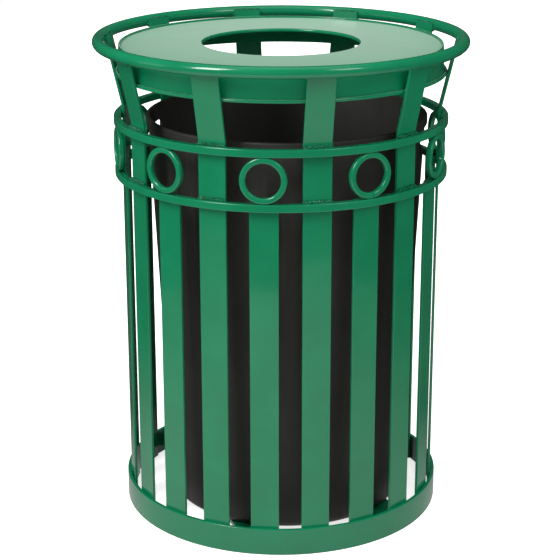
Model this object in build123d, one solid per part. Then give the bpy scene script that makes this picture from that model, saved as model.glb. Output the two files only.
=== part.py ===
from build123d import *
import os
from math import asin, atan2, cos, hypot, sin, tan

# A round outdoor litter receptacle: a cage of upright steel slats that flares out
# to a round rim, a loose tapered liner inside it and a loose lid with a round hole.
# Millimetres, Z up. The origin is on the ground at the middle of the cage, and the
# first short slat faces -Y.

overall_height = 840.0
rim_outer_diameter = 640.0
rim_bar_diameter = 20.0

slat_pair_count = 10
slat_width = 50.8
slat_thickness = 5.0
slat_face_radius = 273.5
slat_ground_gap = 1.5
slat_bend_below_top = 128.0
slat_bend_radius = 25.0
slat_end_past_seat = 1.0
rim_seat_depth = 0.4

band_height = 50.8
band_thickness = 6.3

hoop_bar = 12.7
hoop_bar_chamfer = 1.2
hoop_below_bend = 8.4
scroll_gap = 76.2
short_slat_drop = 1.0

scroll_bar_width = 10.2
scroll_bar_depth = 10.6
scroll_bar_chamfer = 1.2
scroll_weld_flat = 0.25

base_bar_width = 50.8
base_bar_thickness = 6.3
base_bar_top = 12.7
base_bar_offset = 119.5
base_bar_turn = 27.0

body_clearance = 0.3

lid_below_top = 19.5
lid_sheet = 2.0
lid_edge_gap = 16.9
lid_lip_height = 5.2
lid_lip_thickness = 3.0
lid_lip_corner = 1.3
lid_hole_diameter = 267.0
lid_hole_corner_radius = 4.5
lid_hole_flange_depth = 7.0
lid_skirt_depth = 41.5
lid_bead_radius = 3.0
lid_bead_overlap = 0.6

liner_shift_x = 9.5
liner_shift_y = 1.0
liner_rim_below_bend = 8.0
liner_rim_depth = 15.0
liner_rim_overhang = 4.0
liner_rim_corner = 2.5
liner_wall = 3.5
liner_floor = 4.5
liner_side_gap = 30.5
liner_taper = 31.0
liner_bottom_corner = 14.0
hand_hole_width = 105.0
hand_hole_height = 36.0
hand_hole_below_rim = 28.0
hand_hole_corner = 6.0

rim_bar_radius = rim_bar_diameter / 2
rim_center_radius = rim_outer_diameter / 2 - rim_bar_radius
rim_center_height = overall_height - rim_bar_radius
wrap_radius = hypot(slat_face_radius, slat_width / 2)
slat_inner_radius = slat_face_radius - slat_thickness
slat_step = 360.0 / (2 * slat_pair_count)
slat_bend_height = overall_height - slat_bend_below_top
upper_hoop_height = slat_bend_height - hoop_below_bend - hoop_bar
lower_hoop_height = upper_hoop_height - scroll_gap - hoop_bar
liner_rim_height = slat_bend_height - liner_rim_below_bend
liner_top_radius = slat_inner_radius - liner_side_gap
liner_bottom_radius = liner_top_radius - liner_taper

flare_run = rim_center_radius - slat_face_radius
flare_rise = rim_center_height - slat_bend_height
flare_reach = hypot(flare_run, flare_rise)
seat_distance = rim_bar_radius - rim_seat_depth
flare_angle = atan2(flare_run, flare_rise) - asin(seat_distance / flare_reach)
flare_length = flare_reach * cos(asin(seat_distance / flare_reach)) + slat_end_past_seat


def turned(shape, angle):
    """Turn a shape counterclockwise about the middle axis."""
    return Rot(0, 0, angle) * shape


def flare_inner_radius(height):
    """Distance from the axis to the inner face of a long slat above its bend."""
    outer = slat_face_radius + (height - slat_bend_height) * tan(flare_angle)
    return outer - slat_thickness / cos(flare_angle)


def rolled_bar(inner_radius, bottom, width, height, chamfer_size):
    """A rectangular bar rolled into a closed hoop and welded end to end."""
    section = Pos(inner_radius + width / 2, bottom + height / 2) * Rectangle(width, height)
    if chamfer_size > 0:
        section = chamfer(section.vertices(), chamfer_size)
    return revolve(Plane.XZ * section, Axis.Z)


def rim_ring():
    """The round bar rim that the long slats are welded to."""
    section = Pos(rim_center_radius, rim_center_height) * Circle(rim_bar_radius)
    return revolve(Plane.XZ * section, Axis.Z)


def flat_slat(side_points, bend_radius):
    """A flat bar seen from its side in XZ, given its full width along Y."""
    side = make_face(Polyline(*side_points, close=True))
    if bend_radius > 0:
        bends = side.vertices().sort_by(Axis.Y)[2:4].sort_by(Axis.X)
        side = fillet(bends[0], bend_radius)
        outer_bend = side.vertices().sort_by_distance((slat_face_radius, slat_bend_height))[0]
        side = fillet(outer_bend, bend_radius + slat_thickness)
    return extrude(Plane.XZ * side, slat_width / 2, both=True)


def long_slat():
    """A slat that runs from the ground band to the rim, bent outward above the hoops."""
    lean = tan(flare_angle / 2) * slat_thickness
    end_x = slat_face_radius + flare_length * sin(flare_angle)
    end_z = slat_bend_height + flare_length * cos(flare_angle)
    points = [
        (slat_inner_radius, slat_ground_gap),
        (slat_face_radius, slat_ground_gap),
        (slat_face_radius, slat_bend_height),
        (end_x, end_z),
        (end_x - slat_thickness * cos(flare_angle), end_z + slat_thickness * sin(flare_angle)),
        (slat_inner_radius, slat_bend_height + lean),
    ]
    bar = flat_slat(points, slat_bend_radius)
    return turned(bar - rim_ring(), -90)


def short_slat():
    """A straight slat that stops behind the lower hoop."""
    top = lower_hoop_height + hoop_bar - short_slat_drop
    points = [
        (slat_inner_radius, slat_ground_gap),
        (slat_face_radius, slat_ground_gap),
        (slat_face_radius, top),
        (slat_inner_radius, top),
    ]
    return turned(flat_slat(points, 0), -90)


def scroll_ring():
    """A ring of square bar that fills the space between the two hoops."""
    outer_radius = scroll_gap / 2 + scroll_weld_flat
    depth_middle = wrap_radius + hoop_bar / 2
    ring = Cylinder(outer_radius, scroll_bar_depth) - Cylinder(outer_radius - scroll_bar_width, scroll_bar_depth)
    front_edges = ring.edges().filter_by(GeomType.CIRCLE).group_by(Axis.Z)[-1]
    ring = chamfer(front_edges, scroll_bar_chamfer)
    ring = ring & Box(3 * outer_radius, scroll_gap, scroll_bar_depth)
    middle = lower_hoop_height + hoop_bar + scroll_gap / 2
    return Pos(0, -depth_middle, middle) * Rot(90, 0, 0) * ring


def base_bar(side):
    """A flat bar under the liner, cut to meet the inner faces of the slats."""
    bar = Box(base_bar_width, 3 * slat_face_radius, base_bar_thickness)
    bar = Pos(side * base_bar_offset, 0, base_bar_top - base_bar_thickness / 2) * bar
    inside = RegularPolygon(slat_inner_radius, 2 * slat_pair_count, major_radius=False)
    inside = turned(extrude(inside, base_bar_top), slat_step / 2)
    return turned(bar, base_bar_turn) & inside


def lid():
    """A spun sheet lid: flat top in a hemmed lip, turned down hole edge, skirt and rolled bead."""
    lid_top = overall_height - lid_below_top
    edge_radius = flare_inner_radius(lid_top) - lid_edge_gap
    lip_inner_radius = edge_radius - lid_lip_thickness
    lip_top = lid_top + lid_lip_height
    bottom = lid_top - lid_skirt_depth
    bead_reach = (lid_bead_radius + body_clearance) / cos(flare_angle)
    bead_center = flare_inner_radius(bottom) - bead_reach
    skirt_radius = bead_center - lid_bead_radius + lid_bead_overlap
    hole_radius = lid_hole_diameter / 2
    flange_bottom = lid_top - lid_hole_flange_depth
    sheet = make_face(Polyline(
        (hole_radius, flange_bottom),
        (hole_radius, lid_top),
        (lip_inner_radius, lid_top),
        (lip_inner_radius, lip_top),
        (edge_radius, lip_top),
        (skirt_radius, bottom),
        (skirt_radius - lid_sheet, bottom),
        (edge_radius - lid_sheet, lid_top - lid_sheet),
        (hole_radius + lid_sheet, lid_top - lid_sheet),
        (hole_radius + lid_sheet, flange_bottom),
        close=True,
    ))
    rounded = [
        ((hole_radius, lid_top), lid_hole_corner_radius),
        ((lip_inner_radius, lip_top), lid_lip_corner),
        ((edge_radius, lip_top), lid_lip_corner),
        ((hole_radius + lid_sheet, lid_top - lid_sheet), lid_hole_corner_radius - lid_sheet),
    ]
    for point, radius in rounded:
        sheet = fillet(sheet.vertices().sort_by_distance(point)[0], radius)
    bead = Pos(bead_center, bottom) * Circle(lid_bead_radius)
    return revolve(Plane.XZ * (sheet + bead), Axis.Z)


def liner_shell():
    """The tapered tub with its thick turned-out rim, standing on the base bars."""
    floor_bottom = base_bar_top + body_clearance
    rim_bottom = liner_rim_height - liner_rim_depth
    rim_radius = liner_top_radius + liner_rim_overhang
    inner_top = liner_top_radius - liner_wall
    inner_bottom = liner_bottom_radius - liner_wall
    tub = make_face(Polyline(
        (0, floor_bottom),
        (liner_bottom_radius, floor_bottom),
        (liner_top_radius, rim_bottom),
        (rim_radius, rim_bottom),
        (rim_radius, liner_rim_height),
        (inner_top, liner_rim_height),
        (inner_bottom, floor_bottom + liner_floor),
        (0, floor_bottom + liner_floor),
        close=True,
    ))
    rounded = [
        ((liner_bottom_radius, floor_bottom), liner_bottom_corner),
        ((inner_bottom, floor_bottom + liner_floor), liner_bottom_corner - liner_wall),
        ((rim_radius, liner_rim_height), liner_rim_corner),
    ]
    for point, radius in rounded:
        tub = fillet(tub.vertices().sort_by_distance(point)[0], radius)
    return revolve(Plane.XZ * tub, Axis.Z)


def liner():
    """The liner with a grab hole on each side, a little off the middle of the cage."""
    hole = RectangleRounded(hand_hole_width, hand_hole_height, hand_hole_corner)
    cutter = extrude(Plane.YZ * hole, 2 * liner_top_radius, both=True)
    hole_middle = liner_rim_height - hand_hole_below_rim - hand_hole_height / 2
    tub = liner_shell() - Pos(0, 0, hole_middle) * cutter
    return Pos(liner_shift_x, liner_shift_y, 0) * tub


def around(name, shape, first_step):
    """Copies of one shape at every other slat place, counterclockwise from -Y."""
    copies = {}
    for index in range(slat_pair_count):
        angle = (2 * index + first_step) * slat_step
        copies[f"{name}_{index + 1:02d}"] = turned(shape, angle)
    return copies


def all_parts():
    """Every separate piece by name."""
    parts = {
        "rim_ring": rim_ring(),
        "upper_hoop": rolled_bar(wrap_radius, upper_hoop_height, hoop_bar, hoop_bar, hoop_bar_chamfer),
        "lower_hoop": rolled_bar(wrap_radius, lower_hoop_height, hoop_bar, hoop_bar, hoop_bar_chamfer),
        "ground_band": rolled_bar(wrap_radius, 0, band_thickness, band_height, 0),
        "base_bar_left": base_bar(-1),
        "base_bar_right": base_bar(1),
        "liner": liner(),
        "lid": lid(),
    }
    parts.update(around("short_slat", short_slat(), 0))
    parts.update(around("long_slat", long_slat(), 1))
    parts.update(around("scroll_ring", scroll_ring(), 0))
    return parts


os.makedirs("parts", exist_ok=True)
for part_name, part_shape in all_parts().items():
    export_step(part_shape, f"parts/{part_name}.step")
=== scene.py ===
"""Looks of a slatted steel litter receptacle: cage, lid, liner and a studio to show it in."""

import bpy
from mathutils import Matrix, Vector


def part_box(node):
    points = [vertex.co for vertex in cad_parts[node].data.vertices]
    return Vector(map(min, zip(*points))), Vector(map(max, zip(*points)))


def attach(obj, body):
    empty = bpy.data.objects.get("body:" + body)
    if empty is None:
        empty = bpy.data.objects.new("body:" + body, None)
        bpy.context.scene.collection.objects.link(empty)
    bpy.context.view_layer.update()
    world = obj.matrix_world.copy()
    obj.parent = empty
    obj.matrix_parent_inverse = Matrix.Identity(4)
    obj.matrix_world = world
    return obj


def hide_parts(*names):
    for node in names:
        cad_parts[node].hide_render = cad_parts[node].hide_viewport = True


bl_info = {
    "name": "Slatted litter receptacle",
    "version": (1, 0, 0),
    "blender": (4, 5, 0),
    "location": "View3D > Sidebar > Receptacle",
    "description": "Builds the cage, lid and liner of a slatted steel litter receptacle and a studio",
    "category": "Add Mesh",
}

import math
import random

import bmesh
import bpy
from bpy.props import FloatProperty, FloatVectorProperty, IntProperty, PointerProperty
from mathutils import Matrix, Vector

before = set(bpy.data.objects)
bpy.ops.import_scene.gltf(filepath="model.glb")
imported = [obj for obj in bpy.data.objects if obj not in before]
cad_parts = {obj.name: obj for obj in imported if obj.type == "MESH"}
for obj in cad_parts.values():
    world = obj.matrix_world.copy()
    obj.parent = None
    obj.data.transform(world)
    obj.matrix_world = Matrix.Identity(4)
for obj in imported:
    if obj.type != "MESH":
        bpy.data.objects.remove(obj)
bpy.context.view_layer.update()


def linear(hex_code):
    """An sRGB hex colour as the linear values that shaders take."""
    values = [int(hex_code[i:i + 2], 16) / 255 for i in (1, 3, 5)]
    return [v / 12.92 if v <= 0.04045 else ((v + 0.055) / 1.055) ** 2.4 for v in values] + [1.0]


MM = 0.001

# Sizes that come from the frame, in metres

GROUND_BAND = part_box("ground_band")
LOWER_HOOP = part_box("lower_hoop")
UPPER_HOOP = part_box("upper_hoop")
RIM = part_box("rim_ring")
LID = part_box("lid")
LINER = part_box("liner")
SHORT_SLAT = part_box("short_slat_01")
LONG_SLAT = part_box("long_slat_03")
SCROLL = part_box("scroll_ring_01")

SLAT_WIDTH = SHORT_SLAT[1].x - SHORT_SLAT[0].x
SLAT_THICKNESS = SHORT_SLAT[1].y - SHORT_SLAT[0].y
SLAT_FACE = -SHORT_SLAT[0].y
WRAP_RADIUS = math.hypot(SLAT_FACE, SLAT_WIDTH / 2)
RIM_BAR = (RIM[1].z - RIM[0].z) / 2
RIM_HEIGHT = (RIM[0].z + RIM[1].z) / 2

# Sizes inside the boxes that the frame gives, in metres

SLAT_STEP = math.radians(18)
RIM_CENTER = 0.310
RIM_SEAT = 0.4 * MM
BEND_HEIGHT = 0.712
BEND_RADIUS = 0.025
SCROLL_BAR = 10.2 * MM

LID_HOLE_RADIUS = 0.1335
LID_EDGE_RADIUS = 0.276
LID_BEAD_RADIUS = 3.0 * MM
LID_BEAD_OVERLAP = 0.6 * MM
LID_FLANGE_DEPTH = 5.6 * MM
LID_CROWN_AT_LIP = 0.35
LID_SEGMENTS = 288

LINER_RIM_DEPTH = 15 * MM
LINER_RIM_OVERHANG = 4 * MM
LINER_FOOT_RADIUS = 0.207
LINER_FLOOR = 4.5 * MM
LINER_CORNER = 14 * MM
LINER_SEGMENTS = 192
HAND_HOLE_WIDTH = 0.105
HAND_HOLE_HEIGHT = 0.036
HAND_HOLE_BELOW_RIM = 28 * MM
HAND_HOLE_CORNER = 6 * MM

# Small traces of the work: the gap in a ring's seam and how far round it lies from the
# ring's lowest point, in radians, and the sizes of the weld beads at the rim

CLOSED_SEAM = 0.15 * MM
OPEN_SEAM = 0.45 * MM
OPEN_SEAM_RING = 1
SEAM_PLACES = (1.7, 0.12, -1.1, 2.3, 0.9, 1.7, 0.0, -1.1, 2.3, 0.9)
WELD_STEP = 0.8 * MM
WELD_CORNERS = 9
END_WELD_RADIUS = 2.3 * MM
EDGE_WELD_RADIUS = 2.0 * MM

# An extra loop this near to a bar's end keeps the shading of its sides even

END_LOOP = 0.5 * MM

# The lid's faces that look this straight up take the sheet finish, whose sheen is a painted reflection of the
# backdrop's glare

LEVEL_FACE = 0.97

# How far across the features of each surface pattern are, in metres

COAT_CLOUD = 1 / 11  # 91 mm
ORANGE_PEEL = 1 / 330  # 3.0 mm
COAT_SPECK = 1 / 1400  # 0.71 mm
WELD_LUMP = 1 / 520  # 1.9 mm
MOULD_PEBBLE = 1 / 900  # 1.1 mm
PLASTIC_PATCH = 1 / 7  # 143 mm
SCUFF_WIDTH = 1 / 60  # 17 mm
SCUFF_LENGTH = 1 / 2.2  # 455 mm
PAPER_FIBRE = 1 / 40  # 25 mm

# The photo's frame and the lens that was solved from it, in pixels, and a sensor width in mm

PICTURE_WIDTH = 560
FOCAL_LENGTH = 1645.79
PICTURE_SHIFT = -1.02
SENSOR_WIDTH = 36


def flare_angle():
    """The lean of the long slats above their bend, from where they touch the rim bar."""
    run, rise = RIM_CENTER - SLAT_FACE, RIM_HEIGHT - BEND_HEIGHT
    return math.atan2(run, rise) - math.asin((RIM_BAR - RIM_SEAT) / math.hypot(run, rise))


FLARE = flare_angle()
SLAT_END = LONG_SLAT[1].z - SLAT_THICKNESS * math.sin(FLARE)
FLARE_LENGTH = (SLAT_END - BEND_HEIGHT) / math.cos(FLARE)
LINER_MIDDLE = ((LINER[0].x + LINER[1].x) / 2, (LINER[0].y + LINER[1].y) / 2)


# Settings a user would change

class CageSettings(bpy.types.PropertyGroup):
    slat_width: FloatProperty(
        name="Slat width",
        description="Width of the flat bar in the slats, between its rounded edges' outermost lines",
        default=47.6 * MM, min=20 * MM, max=50.8 * MM, unit="LENGTH")
    band_height: FloatProperty(
        name="Band height",
        description="Height of the ground band",
        default=47.0 * MM, min=20 * MM, max=50.8 * MM, unit="LENGTH")
    edge_radius: FloatProperty(
        name="Slat edge radius",
        description="How far the edges of the flat bar are rounded by the mill and the coat",
        default=1.1 * MM, min=0.2 * MM, max=2.4 * MM, unit="LENGTH")
    hoop_edge_radius: FloatProperty(
        name="Hoop edge radius",
        description="Corner radius of the square bar in the hoops",
        default=1.6 * MM, min=0.2 * MM, max=5 * MM, unit="LENGTH")
    scroll_edge_radius: FloatProperty(
        name="Ring edge radius",
        description="Corner radius of the square bar in the ornamental rings",
        default=3.4 * MM, min=0.2 * MM, max=5 * MM, unit="LENGTH")
    weld_radius: FloatProperty(
        name="Weld bead radius",
        description="Half thickness of the weld beads",
        default=2.9 * MM, min=0.5 * MM, max=6 * MM, unit="LENGTH")
    smoothness: IntProperty(
        name="Hoop segments",
        description="Segments round each hoop",
        default=240, min=60, max=720, subtype="UNSIGNED")


class LidSettings(bpy.types.PropertyGroup):
    sheet: FloatProperty(
        name="Sheet thickness",
        description="Thickness of the lid's steel sheet",
        default=2.0 * MM, min=1 * MM, max=4 * MM, unit="LENGTH")
    lip_height: FloatProperty(
        name="Lip height",
        description="How far the hemmed lip stands above the flat top",
        default=5.2 * MM, min=2 * MM, max=8 * MM, unit="LENGTH")
    lip_thickness: FloatProperty(
        name="Lip thickness",
        description="Thickness of the folded sheet in the lip",
        default=3.0 * MM, min=2 * MM, max=6 * MM, unit="LENGTH")
    hole_edge_radius: FloatProperty(
        name="Hole edge radius",
        description="Radius over which the hole's edge is turned down",
        default=3.0 * MM, min=2.5 * MM, max=12 * MM, unit="LENGTH")
    crown: FloatProperty(
        name="Crown",
        description="How far the sheet rises from the lip to the hole, so that rain runs off",
        default=4.6 * MM, min=0, max=5 * MM, unit="LENGTH")


class LinerSettings(bpy.types.PropertyGroup):
    wall: FloatProperty(
        name="Wall",
        description="Thickness of the moulded wall",
        default=3.5 * MM, min=2 * MM, max=6 * MM, unit="LENGTH")


class FinishSettings(bpy.types.PropertyGroup):
    coat_color: FloatVectorProperty(
        name="Coat",
        description="Colour of the green powder coat",
        default=linear("#0C7950")[:3], size=3, subtype="COLOR", min=0.0, max=1.0)
    liner_color: FloatVectorProperty(
        name="Liner",
        description="Colour of the moulded plastic",
        default=linear("#2E2D2A")[:3], size=3, subtype="COLOR", min=0.0, max=1.0)


class StageSettings(bpy.types.PropertyGroup):
    key_power: FloatProperty(
        name="Left lamp",
        description="Power of the brightest soft box, high on the left",
        default=69.6, min=0.0, unit="POWER")
    fill_power: FloatProperty(
        name="Right lamp",
        description="Power of the soft box high on the right",
        default=13.0, min=0.0, unit="POWER")
    low_power: FloatProperty(
        name="Low lamp",
        description="Power of the soft box low on the left, which reaches in under the rim",
        default=1.8, min=0.0, unit="POWER")
    top_power: FloatProperty(
        name="Top lamp",
        description="Power of the soft box overhead",
        default=9.1, min=0.0, unit="POWER")
    floor_mirror: FloatProperty(
        name="Mirrored floor",
        description="How bright the paper in front is when the coat mirrors it",
        default=0.70, min=0.0, max=1.0, subtype="FACTOR")
    wall_mirror: FloatProperty(
        name="Mirrored wall",
        description="How bright the paper behind is when the coat mirrors it",
        default=0.06, min=0.0, max=1.0, subtype="FACTOR")
    side_mirror: FloatProperty(
        name="Mirrored sides",
        description="Share of the mirrored brightness that is left at the sides of the paper",
        default=0.47, min=0.0, max=1.0, subtype="FACTOR")
    room_mirror: FloatProperty(
        name="Mirrored room",
        description="How bright the dim room is when the coat mirrors it",
        default=0.03, min=0.0, max=1.0, subtype="FACTOR")
    room_light: FloatProperty(
        name="Room light",
        description="How much soft light the room throws on the object",
        default=1.00, min=0.0, max=1.0, subtype="FACTOR")
    camera_distance: FloatProperty(
        name="Camera distance",
        description="Level distance from the middle of the cage to the lens",
        default=2.7857, min=0.5, max=20, unit="LENGTH")
    camera_height: FloatProperty(
        name="Camera height",
        description="Height of the lens above the floor",
        default=1.3042, min=0, max=10, unit="LENGTH")
    camera_turn: FloatProperty(
        name="Camera turn",
        description="Where the camera stands round the cage, from its front towards +X",
        default=math.radians(5.72), subtype="ANGLE")
    camera_pitch: FloatProperty(
        name="Camera pitch",
        description="How far the camera looks down",
        default=math.radians(18.012), subtype="ANGLE")


# Colour and material helpers

def shade(color, factor):
    """A colour made darker or lighter by a factor, opaque."""
    return [min(1.0, value * factor) for value in color[:3]] + [1.0]


def grey(value):
    """An opaque grey for ramps that carry plain values."""
    return (value, value, value, 1.0)


def add(tree, kind, settings=None, links=None):
    """Add a node, set its settings, stops and inputs, and link the inputs that other nodes feed."""
    node = tree.nodes.new(kind)
    for key, value in (settings or {}).items():
        if key == "stops":
            elements = node.color_ramp.elements
            while len(elements) < len(value):
                elements.new(0.5)
            for element, (place, color) in zip(elements, value):
                element.position = place
                element.color = color
        elif isinstance(key, str) and hasattr(node, key):
            setattr(node, key, value)
        else:
            node.inputs[key].default_value = value
    for key, source in (links or {}).items():
        tree.links.new(source, node.inputs[key])
    return node


def blank_material(name):
    """A node material with nothing in it yet, and its tree."""
    material = bpy.data.materials.new(name)
    material.use_nodes = True
    material.node_tree.nodes.clear()
    return material, material.node_tree


def powder_coated_steel(name="powder_coated_steel", weld=False, rough=0.17, skin=0.5, glare_sheen=0.0):
    """Mild steel bar under gloss green polyester powder coat.

    The coat is melted on in an oven. It keeps a clear glassy skin over its pigment, so
    highlights are white and grow towards the edges, with a faint orange peel about
    3 mm across and slow clouds where the film is thicker. Weld metal under it stays lumpy
    and pitted; its colour is darkened in the low spots of the lumps as painted shade and
    lightened a little on the high spots as painted highlights. A level sheet gets a pale
    sheen that stands in for the glare of the backdrop mirrored at a low angle, a painted
    reflection. The specks are dust grains, drawn coarser than they are.
    """
    green = bpy.context.scene.receptacle_finish.coat_color
    material, tree = blank_material(name)
    place = add(tree, "ShaderNodeTexCoord").outputs["Object"]
    cloud = add(tree, "ShaderNodeTexNoise", {"Scale": 1 / COAT_CLOUD, "Detail": 3.0, "Roughness": 0.55},
                {"Vector": place})
    speck = add(tree, "ShaderNodeTexNoise", {"Scale": 1 / COAT_SPECK, "Detail": 1.0}, {"Vector": place})
    tone = add(tree, "ShaderNodeValToRGB", {
        "stops": [(0.30, shade(green, 0.90)), (0.52, shade(green, 1.0)), (0.72, shade(green, 1.10))],
    }, {"Fac": cloud.outputs["Fac"]})
    dust = add(tree, "ShaderNodeValToRGB", {"stops": [(0.70, grey(0.0)), (0.80, grey(0.22))]},
               {"Fac": speck.outputs["Fac"]})
    color = add(tree, "ShaderNodeMix", {"data_type": "RGBA", 7: shade(green, 1.7)},
                {0: dust.outputs["Color"], 6: tone.outputs["Color"]})
    gloss = add(tree, "ShaderNodeValToRGB", {"stops": [(0.3, grey(rough * 0.85)), (0.7, grey(rough * 1.2))]},
                {"Fac": cloud.outputs["Fac"]})
    if weld:
        relief = add(tree, "ShaderNodeTexNoise", {"Scale": 1 / WELD_LUMP, "Detail": 4.0, "Roughness": 0.65},
                     {"Vector": place})
        bump = add(tree, "ShaderNodeBump", {"Strength": 1.0, "Distance": 2 * MM},
                   {"Height": relief.outputs["Fac"]})
        # Painted shade darkens the low spots of the lumps, and painted highlights lighten the high spots a little
        painted_pit_shade_and_glint = add(tree, "ShaderNodeValToRGB", {"stops": [(0.42, grey(0.30)), (0.55, grey(1.15))]},
                   {"Fac": relief.outputs["Fac"]})
        color = add(tree, "ShaderNodeMix", {"data_type": "RGBA", "blend_type": "MULTIPLY", 0: 1.0},
                    {6: color.outputs[2], 7: painted_pit_shade_and_glint.outputs["Color"]})
    else:
        relief = add(tree, "ShaderNodeTexNoise", {"Scale": 1 / ORANGE_PEEL, "Detail": 2.0, "Roughness": 0.4},
                     {"Vector": place})
        bump = add(tree, "ShaderNodeBump", {"Strength": 0.06, "Distance": 0.5 * MM},
                   {"Height": relief.outputs["Fac"]})
    shader = add(tree, "ShaderNodeBsdfPrincipled", {
        "Metallic": 0.0, "IOR": 1.5, "Coat Weight": skin, "Coat Roughness": 0.25 * rough, "Coat IOR": 1.5,
        # The sheen, in a green tint, is a painted reflection: the pale glare of the backdrop on a level sheet
        "Sheen Weight": glare_sheen, "Sheen Roughness": 0.4, "Sheen Tint": linear("#EDFFF1"),
    }, {
        "Base Color": color.outputs[2], "Roughness": gloss.outputs["Color"],
        "Normal": bump.outputs["Normal"], "Coat Normal": bump.outputs["Normal"],
    })
    add(tree, "ShaderNodeOutputMaterial", None, {"Surface": shader.outputs["BSDF"]})
    return material


def moulded_polyethylene(name="moulded_polyethylene"):
    """Black polyethylene tub from a heated mould.

    The mould leaves a fine pebble that blurs reflections into a soft sheen, and
    sliding in and out of the cage leaves faint upright scuffs.
    """
    black = bpy.context.scene.receptacle_finish.liner_color
    material, tree = blank_material(name)
    place = add(tree, "ShaderNodeTexCoord").outputs["Object"]
    stretch = add(tree, "ShaderNodeMapping", {"Scale": (1 / SCUFF_WIDTH, 1 / SCUFF_WIDTH, 1 / SCUFF_LENGTH)},
                  {"Vector": place})
    pebble = add(tree, "ShaderNodeTexNoise", {"Scale": 1 / MOULD_PEBBLE, "Detail": 2.0}, {"Vector": place})
    streak = add(tree, "ShaderNodeTexNoise", {"Scale": 1.0, "Detail": 3.0, "Roughness": 0.6},
                 {"Vector": stretch.outputs["Vector"]})
    patch = add(tree, "ShaderNodeTexNoise", {"Scale": 1 / PLASTIC_PATCH, "Detail": 2.0}, {"Vector": place})
    tone = add(tree, "ShaderNodeValToRGB", {"stops": [(0.3, shade(black, 0.85)), (0.7, shade(black, 1.25))]},
               {"Fac": patch.outputs["Fac"]})
    scuff = add(tree, "ShaderNodeValToRGB", {"stops": [(0.62, grey(0.0)), (0.78, grey(0.35))]},
                {"Fac": streak.outputs["Fac"]})
    color = add(tree, "ShaderNodeMix", {"data_type": "RGBA", 7: shade(black, 3.0)},
                {0: scuff.outputs["Color"], 6: tone.outputs["Color"]})
    matte = add(tree, "ShaderNodeValToRGB", {"stops": [(0.3, grey(0.46)), (0.7, grey(0.58))]},
                {"Fac": streak.outputs["Fac"]})
    bump = add(tree, "ShaderNodeBump", {"Strength": 0.18, "Distance": 0.4 * MM}, {"Height": pebble.outputs["Fac"]})
    shader = add(tree, "ShaderNodeBsdfPrincipled", {"Metallic": 0.0, "IOR": 1.51}, {
        "Base Color": color.outputs[2], "Roughness": matte.outputs["Color"], "Normal": bump.outputs["Normal"],
    })
    add(tree, "ShaderNodeOutputMaterial", None, {"Surface": shader.outputs["BSDF"]})
    return material


def finish(name):
    """One of the object's materials by name, made the first time it is asked for."""
    makers = {
        "powder_coated_steel": powder_coated_steel,
        "powder_coated_weld": lambda: powder_coated_steel("powder_coated_weld", weld=True, rough=0.10),
        # The sheet's sheen is a painted reflection of the backdrop's glare at a low angle
        "powder_coated_sheet": lambda: powder_coated_steel("powder_coated_sheet", rough=0.20, skin=0.0,
                                                           glare_sheen=0.80),
        "moulded_polyethylene": moulded_polyethylene,
    }
    return bpy.data.materials.get(name) or makers[name]()


# Mesh helpers

def rounded(points, radii, steps=4):
    """A closed 2-D outline with each corner replaced by an arc of its own radius."""
    outline = []
    count = len(points)
    for index, (point, radius) in enumerate(zip(points, radii)):
        corner = Vector(point)
        back = (Vector(points[index - 1]) - corner).normalized()
        ahead = (Vector(points[(index + 1) % count]) - corner).normalized()
        if radius <= 0:
            outline.append(tuple(corner))
            continue
        half = back.angle(ahead) / 2
        reach = radius / math.tan(half)
        center = corner + (back + ahead).normalized() * (radius / math.sin(half))
        start, end = corner + back * reach - center, corner + ahead * reach - center
        turn = start.angle_signed(end)
        for step in range(steps + 1):
            angle = -turn * step / steps
            spun = Vector((start.x * math.cos(angle) - start.y * math.sin(angle),
                           start.x * math.sin(angle) + start.y * math.cos(angle)))
            outline.append(tuple(center + spun))
    return outline


def rounded_rectangle(low, high, radius, steps=4):
    """A rounded rectangle outline between two corners."""
    (x0, y0), (x1, y1) = low, high
    return rounded([(x0, y0), (x1, y0), (x1, y1), (x0, y1)], [radius] * 4, steps)


def circle(center, radius, steps=28):
    """A round outline."""
    return [(center[0] + radius * math.cos(2 * math.pi * i / steps),
             center[1] + radius * math.sin(2 * math.pi * i / steps)) for i in range(steps)]


def revolve(mesh, outline, segments, middle=(0.0, 0.0)):
    """Turn a closed outline of (radius, height) once round the upright axis."""
    rings = []
    for index in range(segments):
        angle = 2 * math.pi * index / segments
        rings.append([mesh.verts.new((middle[0] + r * math.sin(angle), middle[1] - r * math.cos(angle), z))
                      for r, z in outline])
    for index in range(segments):
        join_rings(mesh, rings[index], rings[(index + 1) % segments])


def join_rings(mesh, first, second):
    """Quads between two closed rings of the same count."""
    count = len(first)
    for index in range(count):
        following = (index + 1) % count
        mesh.faces.new((first[index], second[index], second[following], first[following]))


def sweep(mesh, section, stations):
    """Carry a closed section along stations of (place, across, outward) and cap its ends."""
    rings = []
    for place, across, outward in stations:
        rings.append([mesh.verts.new(place + across * u + outward * v) for u, v in section])
    for first, second in zip(rings, rings[1:]):
        join_rings(mesh, first, second)
    mesh.faces.new(reversed(rings[0]))
    mesh.faces.new(rings[-1])


def piece(name, mesh, material, body, nodes=(), flats=True):
    """Turn a bmesh into a shown piece that rides on a body and stands for CAD nodes."""
    bmesh.ops.recalc_face_normals(mesh, faces=mesh.faces)
    data = bpy.data.meshes.new(name)
    mesh.to_mesh(data)
    mesh.free()
    data.shade_smooth()
    data.set_sharp_from_angle(angle=math.radians(40))
    shown = bpy.data.objects.new(name, data)
    bpy.context.scene.collection.objects.link(shown)
    data.materials.append(finish(material))
    if flats:
        flat = shown.modifiers.new("Even flats", "WEIGHTED_NORMAL")
        flat.keep_sharp = True
    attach(shown, body)
    if nodes:
        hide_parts(*nodes)
    return shown


def turn(angle):
    """A turn about the upright axis, counterclockwise from -Y."""
    return Matrix.Rotation(angle, 4, "Z")


# Cage

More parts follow.
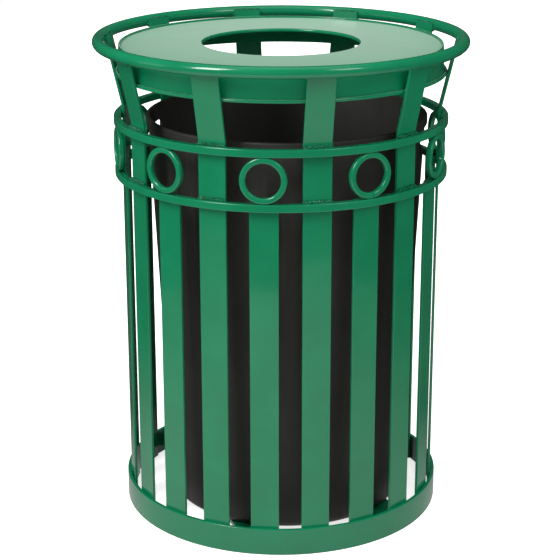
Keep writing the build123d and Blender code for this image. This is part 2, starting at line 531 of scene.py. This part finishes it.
def slat_stations(top, bent):
    """Stations along a slat that faces -Y, from its foot to its top, at its middle thickness."""
    middle = SLAT_FACE - SLAT_THICKNESS / 2
    foot = SHORT_SLAT[0].z
    side = []
    if not bent:
        heights = [foot, foot + END_LOOP] + [foot + (top - foot) * k / 6 for k in range(1, 6)]
        side = [((middle, z), 0.0) for z in heights + [top - END_LOOP, top]]
    else:
        radius = BEND_RADIUS + SLAT_THICKNESS / 2
        reach = radius * math.tan(FLARE / 2)
        heights = [foot, foot + END_LOOP] + [foot + (BEND_HEIGHT - reach - foot) * k / 6 for k in range(1, 7)]
        side = [((middle, z), 0.0) for z in heights]
        start = BEND_HEIGHT + SLAT_THICKNESS / 2 * math.tan(FLARE / 2) - reach
        for step in range(1, 7):
            angle = FLARE * step / 6
            side.append(((middle + radius * (1 - math.cos(angle)), start + radius * math.sin(angle)), angle))
        (x, z), angle = side[-1]
        length = FLARE_LENGTH - reach
        for share in (0.33, 0.66, 1.0 - END_LOOP / length, 1.0):
            side.append(((x + math.sin(FLARE) * length * share, z + math.cos(FLARE) * length * share), FLARE))
    stations = []
    for (x, z), angle in side:
        outward = Vector((0, -math.cos(angle), -math.sin(angle)))
        stations.append((Vector((0, -x, z)), Vector((1, 0, 0)), outward))
    return stations


def slat_mesh(settings, top, bent, angle):
    """A flat bar with rounded edges, bent or straight, turned to its place."""
    mesh = bmesh.new()
    half_width, half = settings.slat_width / 2, SLAT_THICKNESS / 2
    section = rounded_rectangle((-half_width, -half), (half_width, half), settings.edge_radius, 4)
    sweep(mesh, section, slat_stations(top, bent))
    mesh.transform(turn(angle))
    return mesh


def cage_nodes(prefix):
    """The CAD nodes of one kind in order."""
    return sorted(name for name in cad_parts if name.startswith(prefix))


class RECEPTACLE_OT_slats(bpy.types.Operator):
    """Add the long bent slats and the short straight slats"""
    bl_idname = "receptacle.slats"
    bl_label = "Slats"

    def execute(self, context):
        settings = context.scene.receptacle_cage
        for index, node in enumerate(cage_nodes("long_slat")):
            mesh = slat_mesh(settings, LONG_SLAT[1].z, True, (2 * index + 1) * SLAT_STEP)
            piece(node + "_bar", mesh, "powder_coated_steel", "cage", [node])
        for index, node in enumerate(cage_nodes("short_slat")):
            mesh = slat_mesh(settings, SHORT_SLAT[1].z, False, 2 * index * SLAT_STEP)
            piece(node + "_bar", mesh, "powder_coated_steel", "cage", [node])
        return {"FINISHED"}


class RECEPTACLE_OT_hoops(bpy.types.Operator):
    """Add the two square hoops, the ground band and the round rim"""
    bl_idname = "receptacle.hoops"
    bl_label = "Hoops, band and rim"

    def execute(self, context):
        settings = context.scene.receptacle_cage
        outer = UPPER_HOOP[1].x
        for node, (low, high) in (("upper_hoop", UPPER_HOOP), ("lower_hoop", LOWER_HOOP)):
            mesh = bmesh.new()
            section = rounded_rectangle((WRAP_RADIUS, low.z), (outer, high.z), settings.hoop_edge_radius, 4)
            revolve(mesh, section, settings.smoothness)
            piece(node + "_bar", mesh, "powder_coated_steel", "cage", [node])
        mesh = bmesh.new()
        section = rounded_rectangle((WRAP_RADIUS, 0.0), (GROUND_BAND[1].x, settings.band_height),
                                    settings.edge_radius, 4)
        revolve(mesh, section, settings.smoothness)
        piece("ground_band_bar", mesh, "powder_coated_steel", "cage", ["ground_band"])
        mesh = bmesh.new()
        revolve(mesh, circle((RIM_CENTER, RIM_HEIGHT), RIM_BAR), settings.smoothness)
        piece("rim_ring_bar", mesh, "powder_coated_steel", "cage", ["rim_ring"], flats=False)
        return {"FINISHED"}


class RECEPTACLE_OT_rings(bpy.types.Operator):
    """Add the ornamental rings of square bar between the hoops"""
    bl_idname = "receptacle.rings"
    bl_label = "Ornamental rings"

    def execute(self, context):
        settings = context.scene.receptacle_cage
        depth = SCROLL[1].y - SCROLL[0].y
        middle_y = (SCROLL[0].y + SCROLL[1].y) / 2
        middle_z = (SCROLL[0].z + SCROLL[1].z) / 2
        outer = (SCROLL[1].x - SCROLL[0].x) / 2
        inner = outer - SCROLL_BAR
        section = rounded_rectangle((inner, -depth / 2), (outer, depth / 2), settings.scroll_edge_radius, 5)
        for index, node in enumerate(cage_nodes("scroll_ring")):
            mesh = bmesh.new()
            seam = (OPEN_SEAM if index == OPEN_SEAM_RING else CLOSED_SEAM) / outer
            stations = []
            segments = 64
            for step in range(segments + 1):
                angle = seam + (2 * math.pi - 2 * seam) * step / segments - math.pi / 2 + SEAM_PLACES[index]
                radial = Vector((math.cos(angle), 0, math.sin(angle)))
                stations.append((Vector((0, middle_y, middle_z)), radial, Vector((0, 1, 0))))
            sweep(mesh, section, stations)
            mesh.transform(turn(2 * index * SLAT_STEP))
            piece(node + "_bar", mesh, "powder_coated_steel", "cage", [node])
        return {"FINISHED"}


def weld_bead(mesh, start, end, radius, seed, pitch=4.2 * MM):
    """An uneven weld bead between two points: overlapping scallops, each a little off the line."""
    picker = random.Random(seed)
    along = end - start
    count = max(8, int(along.length / WELD_STEP))
    across = along.normalized().orthogonal().normalized()
    other = along.normalized().cross(across)
    offset = picker.uniform(0.0, math.pi)
    rings = []
    for step in range(count + 1):
        share = step / count
        drift = across * picker.uniform(-0.35, 0.35) * MM + other * picker.uniform(-0.25, 0.25) * MM
        place = start + along * share + drift
        swell = 0.62 + 0.55 * abs(math.sin(math.pi * along.length * share / pitch + offset))
        taper = min(1.0, 0.35 + 6.0 * min(share, 1.0 - share))
        ring = []
        for corner in range(WELD_CORNERS):
            angle = 2 * math.pi * corner / WELD_CORNERS
            size = radius * swell * taper * (1.0 + picker.uniform(-0.24, 0.24))
            ring.append(mesh.verts.new(place + (across * math.cos(angle) + other * math.sin(angle)) * size))
        rings.append(ring)
    for first, second in zip(rings, rings[1:]):
        join_rings(mesh, first, second)
    mesh.faces.new(reversed(rings[0]))
    mesh.faces.new(rings[-1])


def slat_point(angle, across, radius, height):
    """A point by slat place: how far across the slat, from the axis and up."""
    return turn(angle) @ Vector((across, -radius, height))


class RECEPTACLE_OT_welds(bpy.types.Operator):
    """Add the weld beads that hold the slats to the hoops and the rim"""
    bl_idname = "receptacle.welds"
    bl_label = "Weld beads"

    def execute(self, context):
        settings = context.scene.receptacle_cage
        radius = settings.weld_radius
        half = settings.slat_width / 2
        bead_face = SLAT_FACE + 2.4 * MM
        bead_end = half + 1 * MM
        count = len(cage_nodes("long_slat"))
        for name, top in (("upper_hoop_welds", UPPER_HOOP[1].z), ("lower_hoop_welds", LOWER_HOOP[1].z)):
            mesh = bmesh.new()
            for index in range(count):
                angle = (2 * index + 1) * SLAT_STEP
                start = slat_point(angle, -bead_end, bead_face, top + 1 * MM)
                end = slat_point(angle, bead_end, bead_face, top + 1 * MM)
                weld_bead(mesh, start, end, radius, seed=11 * index + 3)
            piece(name, mesh, "powder_coated_weld", "cage", flats=False)
        mesh = bmesh.new()
        top_x = SLAT_FACE + FLARE_LENGTH * math.sin(FLARE)
        top_z = SLAT_END
        for index in range(count):
            angle = (2 * index + 1) * SLAT_STEP
            start = slat_point(angle, -bead_end, top_x - 1 * MM, top_z + 0.9 * MM)
            end = slat_point(angle, bead_end, top_x - 1 * MM, top_z + 0.9 * MM)
            weld_bead(mesh, start, end, END_WELD_RADIUS, seed=7 * index + 1)
            for side in (-1, 1):
                low = slat_point(angle, side * (half + 0.5 * MM), top_x - 3 * MM, top_z - 13 * MM)
                high = slat_point(angle, side * (half + 0.5 * MM), top_x + 0.5 * MM, top_z - 1 * MM)
                weld_bead(mesh, low, high, EDGE_WELD_RADIUS, seed=5 * index + side)
        piece("rim_welds", mesh, "powder_coated_weld", "cage", flats=False)
        return {"FINISHED"}


# Lid

class RECEPTACLE_OT_lid(bpy.types.Operator):
    """Add the spun sheet lid with its hole, skirt and rolled bead"""
    bl_idname = "receptacle.lid"
    bl_label = "Lid"

    def execute(self, context):
        settings = context.scene.receptacle_lid
        sheet = settings.sheet
        lip_top = LID[1].z
        top = lip_top - settings.lip_height
        bead_middle = LID[1].x - LID_BEAD_RADIUS
        bottom = LID[0].z + LID_BEAD_RADIUS
        skirt = bead_middle - LID_BEAD_RADIUS + LID_BEAD_OVERLAP
        hole, edge = LID_HOLE_RADIUS, LID_EDGE_RADIUS
        high = top + settings.crown
        foot = top + LID_CROWN_AT_LIP * settings.crown
        flange = high - LID_FLANGE_DEPTH
        lip = edge - settings.lip_thickness
        points = [(hole, flange), (hole, high), (lip, foot), (lip, lip_top), (edge, lip_top), (skirt, bottom),
                  (skirt - sheet, bottom), (edge - sheet, foot - sheet), (hole + sheet, high - sheet),
                  (hole + sheet, flange)]
        cut_edge, inner_fold, outer_fold = 0.9 * MM, 1.0 * MM, 1.4 * MM
        radii = [cut_edge, settings.hole_edge_radius, inner_fold, outer_fold, outer_fold, 0, 0,
                 inner_fold, settings.hole_edge_radius - sheet, cut_edge]
        mesh = bmesh.new()
        revolve(mesh, rounded(points, radii, 6), LID_SEGMENTS)
        revolve(mesh, circle((bead_middle, bottom), LID_BEAD_RADIUS, 18), LID_SEGMENTS)
        shown = piece("lid_sheet", mesh, "powder_coated_steel", "lid", ["lid"])
        shown.data.materials.append(finish("powder_coated_sheet"))
        # Level faces take the sheet finish, whose sheen is a painted reflection of the backdrop's glare
        for face in shown.data.polygons:
            face.material_index = 1 if face.normal.z > LEVEL_FACE else 0
        return {"FINISHED"}


# Liner

def hand_hole_cutter(width, height, middle):
    """A long rounded bar that cuts both grab holes at once."""
    mesh = bmesh.new()
    section = rounded_rectangle((-width / 2, -height / 2), (width / 2, height / 2), HAND_HOLE_CORNER, 5)
    stations = [(Vector((LINER_MIDDLE[0] + x, LINER_MIDDLE[1], middle)), Vector((0, 1, 0)), Vector((0, 0, 1)))
                for x in (-0.4, 0.4)]
    sweep(mesh, section, stations)
    bmesh.ops.recalc_face_normals(mesh, faces=mesh.faces)
    data = bpy.data.meshes.new("hand_hole_cutter")
    mesh.to_mesh(data)
    mesh.free()
    cutter = bpy.data.objects.new("hand_hole_cutter", data)
    bpy.context.scene.collection.objects.link(cutter)
    return cutter


class RECEPTACLE_OT_liner(bpy.types.Operator):
    """Add the tapered liner with its rim and grab holes"""
    bl_idname = "receptacle.liner"
    bl_label = "Liner"

    def execute(self, context):
        wall = context.scene.receptacle_liner.wall
        top, low = LINER[1].z, LINER[0].z
        outer = (LINER[1].x - LINER[0].x) / 2
        rim_low = top - LINER_RIM_DEPTH
        upper, lower = outer - LINER_RIM_OVERHANG, LINER_FOOT_RADIUS
        floor = low + LINER_FLOOR
        points = [(0, low), (lower, low), (upper, rim_low), (outer, rim_low), (outer, top),
                  (upper - wall, top), (lower - wall, floor), (0, floor)]
        under_rim, rim_foot, rim_top, mouth = 1.5 * MM, 2.5 * MM, 3.0 * MM, 2.5 * MM
        radii = [0, LINER_CORNER, under_rim, rim_foot, rim_top, mouth, LINER_CORNER - wall, 0]
        outline = rounded(points, radii, 6)
        mesh = bmesh.new()
        revolve(mesh, outline, LINER_SEGMENTS, LINER_MIDDLE)
        bmesh.ops.remove_doubles(mesh, verts=mesh.verts, dist=1e-6)
        bmesh.ops.dissolve_degenerate(mesh, edges=mesh.edges, dist=1e-6)
        shown = piece("liner_tub", mesh, "moulded_polyethylene", "liner", ["liner"], flats=False)
        middle = top - HAND_HOLE_BELOW_RIM - HAND_HOLE_HEIGHT / 2
        cutter = hand_hole_cutter(HAND_HOLE_WIDTH, HAND_HOLE_HEIGHT, middle)
        cut = shown.modifiers.new("Grab holes", "BOOLEAN")
        cut.operation, cut.solver, cut.object = "DIFFERENCE", "EXACT", cutter
        bpy.context.view_layer.update()
        cleaned = bpy.data.meshes.new_from_object(shown.evaluated_get(bpy.context.evaluated_depsgraph_get()))
        shown.modifiers.clear()
        shown.data = cleaned
        bpy.data.objects.remove(cutter)
        flat = shown.modifiers.new("Even flats", "WEIGHTED_NORMAL")
        flat.keep_sharp = True
        return {"FINISHED"}


class RECEPTACLE_OT_base_bars(bpy.types.Operator):
    """Finish the base bars that carry the liner"""
    bl_idname = "receptacle.base_bars"
    bl_label = "Base bars"

    def execute(self, context):
        for node in cage_nodes("base_bar"):
            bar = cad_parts[node]
            for place in bar.material_slots:
                place.material = finish("powder_coated_steel")
        return {"FINISHED"}


# Stage

def soft_box(name, azimuth, distance, height, size, power):
    """A rectangular studio lamp at a place round the object, aimed at its upper half."""
    data = bpy.data.lights.new(name, "AREA")
    data.shape = "RECTANGLE"
    data.size, data.size_y = size
    data.energy = power
    lamp = bpy.data.objects.new(name, data)
    lamp.location = (distance * math.sin(azimuth), -distance * math.cos(azimuth), height)
    aim = Vector((0, 0, 0.55)) - lamp.location
    lamp.rotation_euler = aim.to_track_quat("-Z", "Y").to_euler()
    bpy.context.scene.collection.objects.link(lamp)
    return lamp


def white_paper():
    """White seamless paper: it keeps a soft shadow round the object and is plain white beyond.

    Mirrored in the coat it is bright in front, where the lamps stand, and dim behind and to
    the sides. The ranges are distances from the middle of the cage, in metres.
    """
    stage = bpy.context.scene.receptacle_stage
    material, tree = blank_material("white_paper")
    place = add(tree, "ShaderNodeTexCoord").outputs["Object"]
    fibre = add(tree, "ShaderNodeTexNoise", {"Scale": 1 / PAPER_FIBRE, "Detail": 4.0}, {"Vector": place})
    tone = add(tree, "ShaderNodeValToRGB", {"stops": [(0.3, linear("#E4E4E2")), (0.7, linear("#EBEBE9"))]},
               {"Fac": fibre.outputs["Fac"]})
    paper = add(tree, "ShaderNodeBsdfDiffuse", {"Roughness": 0.6}, {"Color": tone.outputs["Color"]})
    reach = add(tree, "ShaderNodeVectorMath", {"operation": "LENGTH"}, {0: place})
    near = add(tree, "ShaderNodeMapRange", {"From Min": 0.5, "From Max": 1.3, "To Min": 0.74, "To Max": 1.0},
               {"Value": reach.outputs["Value"]})
    glow = add(tree, "ShaderNodeEmission", None, {"Strength": near.outputs["Result"]})
    shown = add(tree, "ShaderNodeAddShader", None, {0: paper.outputs["BSDF"], 1: glow.outputs["Emission"]})
    parts = add(tree, "ShaderNodeSeparateXYZ", None, {"Vector": place})
    aside = add(tree, "ShaderNodeMath", {"operation": "ABSOLUTE"}, {0: parts.outputs["X"]})
    fade = add(tree, "ShaderNodeMapRange", {
        "From Min": 0.55, "From Max": 1.2, "To Min": 1.0, "To Max": stage.side_mirror,
    }, {"Value": aside.outputs["Value"]})
    depth = add(tree, "ShaderNodeMapRange", {
        "From Min": -0.3, "From Max": 0.3, "To Min": stage.floor_mirror, "To Max": stage.wall_mirror,
    }, {"Value": parts.outputs["Y"]})
    bright = add(tree, "ShaderNodeMath", {"operation": "MULTIPLY"},
                 {0: fade.outputs["Result"], 1: depth.outputs["Result"]})
    mirrored = add(tree, "ShaderNodeEmission", None, {"Strength": bright.outputs["Value"]})
    lit = add(tree, "ShaderNodeBsdfDiffuse", {"Color": linear("#B0B0AE"), "Roughness": 0.6})
    rays = add(tree, "ShaderNodeLightPath")
    sharp = add(tree, "ShaderNodeMath", {"operation": "MAXIMUM"},
                {0: rays.outputs["Is Glossy Ray"], 1: rays.outputs["Is Transmission Ray"]})
    bounce = add(tree, "ShaderNodeMixShader", None, {
        0: sharp.outputs["Value"], 1: lit.outputs["BSDF"], 2: mirrored.outputs["Emission"]})
    pick = add(tree, "ShaderNodeMixShader", None, {
        0: rays.outputs["Is Camera Ray"], 1: bounce.outputs["Shader"], 2: shown.outputs["Shader"]})
    add(tree, "ShaderNodeOutputMaterial", None, {"Surface": pick.outputs["Shader"]})
    return material


def studio_surround():
    """The room round the paper: soft light, dim where the coat mirrors it, plain white to the camera."""
    world = bpy.data.worlds.new("studio_surround")
    world.use_nodes = True
    tree = world.node_tree
    tree.nodes.clear()
    rays = add(tree, "ShaderNodeLightPath")
    seen = add(tree, "ShaderNodeMath", {"operation": "MAXIMUM"},
               {0: rays.outputs["Is Camera Ray"], 1: rays.outputs["Is Transmission Ray"]})
    stage = bpy.context.scene.receptacle_stage
    level = add(tree, "ShaderNodeMapRange", {"To Min": stage.room_mirror, "To Max": stage.room_light},
                {"Value": rays.outputs["Is Diffuse Ray"]})
    white = add(tree, "ShaderNodeBackground", {"Color": linear("#FFFFFF"), "Strength": 1.0})
    room = add(tree, "ShaderNodeBackground", {"Color": linear("#FFFFFF")}, {"Strength": level.outputs["Result"]})
    pick = add(tree, "ShaderNodeMixShader", None, {
        0: seen.outputs["Value"], 1: room.outputs["Background"], 2: white.outputs["Background"]})
    add(tree, "ShaderNodeOutputWorld", None, {"Surface": pick.outputs["Shader"]})
    bpy.context.scene.world = world


def paper_sweep(front, back, half_width, height, curve):
    """The paper: level just under the object from front to back, then rolled up into a wall."""
    profile = [(front + (back - curve - front) * k / 12, 0.0) for k in range(13)]
    for step in range(1, 9):
        angle = math.pi / 2 * step / 8
        profile.append((back - curve + curve * math.sin(angle), curve * (1 - math.cos(angle))))
    profile.append((back, height))
    mesh = bmesh.new()
    rows = [[mesh.verts.new((half_width * (k / 4 - 1), y, z - 0.5 * MM)) for k in range(9)] for y, z in profile]
    for near, far in zip(rows, rows[1:]):
        for k in range(8):
            mesh.faces.new((near[k], near[k + 1], far[k + 1], far[k]))
    data = bpy.data.meshes.new("paper_sweep")
    mesh.to_mesh(data)
    mesh.free()
    data.shade_smooth()
    data.materials.append(white_paper())
    sweep_object = bpy.data.objects.new("paper_sweep", data)
    bpy.context.scene.collection.objects.link(sweep_object)


class RECEPTACLE_OT_stage(bpy.types.Operator):
    """Add the paper, the surround, the lamps and the camera"""
    bl_idname = "receptacle.stage"
    bl_label = "Stage"

    def execute(self, context):
        settings = context.scene.receptacle_stage
        scene = context.scene
        scene.view_settings.view_transform = "Standard"
        studio_surround()
        paper_sweep(front=-1.67, back=4.6, half_width=1.5, height=3.6, curve=0.6)
        turn_angle = settings.camera_turn
        for name, degrees, distance, height, size, power in (
                ("left_box", -46, 2.76, 2.85, (0.95, 1.7), settings.key_power),
                ("right_box", 43, 2.76, 2.85, (0.85, 1.3), settings.fill_power),
                ("low_box", -78, 2.60, 1.15, (0.9, 1.3), settings.low_power),
                ("top_box", 0, 0.01, 3.30, (2.2, 2.2), settings.top_power)):
            soft_box(name, math.radians(degrees) + turn_angle, distance, height, size, power)
        lens = bpy.data.cameras.new("camera")
        lens.sensor_width = SENSOR_WIDTH
        lens.lens = FOCAL_LENGTH / PICTURE_WIDTH * SENSOR_WIDTH
        lens.shift_x = PICTURE_SHIFT / PICTURE_WIDTH
        lens.clip_start, lens.clip_end = 0.05, 60
        camera = bpy.data.objects.new("camera", lens)
        camera.location = (settings.camera_distance * math.sin(turn_angle),
                           -settings.camera_distance * math.cos(turn_angle), settings.camera_height)
        camera.rotation_euler = (math.pi / 2 - settings.camera_pitch, 0, turn_angle)
        scene.collection.objects.link(camera)
        scene.camera = camera
        return {"FINISHED"}


class RECEPTACLE_PT_panel(bpy.types.Panel):
    """Lists the pieces and their settings"""
    bl_idname = "RECEPTACLE_PT_panel"
    bl_label = "Litter receptacle"
    bl_space_type = "VIEW_3D"
    bl_region_type = "UI"
    bl_category = "Receptacle"

    def draw(self, context):
        scene = context.scene
        for title, settings, operators in PANEL_ROWS:
            box = self.layout.box()
            box.label(text=title)
            group = getattr(scene, settings)
            for name in group.bl_rna.properties.keys():
                if name not in ("rna_type", "name"):
                    box.prop(group, name)
            for operator in operators:
                box.operator(operator)


PANEL_ROWS = (
    ("Cage", "receptacle_cage", ("receptacle.slats", "receptacle.hoops", "receptacle.rings",
                                 "receptacle.welds", "receptacle.base_bars")),
    ("Lid", "receptacle_lid", ("receptacle.lid",)),
    ("Liner", "receptacle_liner", ("receptacle.liner",)),
    ("Finish", "receptacle_finish", ()),
    ("Stage", "receptacle_stage", ("receptacle.stage",)),
)

SETTINGS = {
    "receptacle_cage": CageSettings,
    "receptacle_lid": LidSettings,
    "receptacle_liner": LinerSettings,
    "receptacle_finish": FinishSettings,
    "receptacle_stage": StageSettings,
}

CLASSES = (
    CageSettings, LidSettings, LinerSettings, FinishSettings, StageSettings,
    RECEPTACLE_OT_slats, RECEPTACLE_OT_hoops, RECEPTACLE_OT_rings, RECEPTACLE_OT_welds,
    RECEPTACLE_OT_base_bars, RECEPTACLE_OT_lid, RECEPTACLE_OT_liner, RECEPTACLE_OT_stage,
    RECEPTACLE_PT_panel,
)


def register():
    """Register the classes and hang the settings on the scene."""
    for cls in CLASSES:
        bpy.utils.register_class(cls)
    for name, cls in SETTINGS.items():
        setattr(bpy.types.Scene, name, PointerProperty(type=cls))


def unregister():
    """Undo register."""
    for name in SETTINGS:
        delattr(bpy.types.Scene, name)
    for cls in reversed(CLASSES):
        bpy.utils.unregister_class(cls)


def main():
    """Build every piece in order."""
    register()
    for name in ("slats", "hoops", "rings", "welds", "base_bars", "lid", "liner", "stage"):
        getattr(bpy.ops.receptacle, name)()


if __name__ == "__main__":
    main()
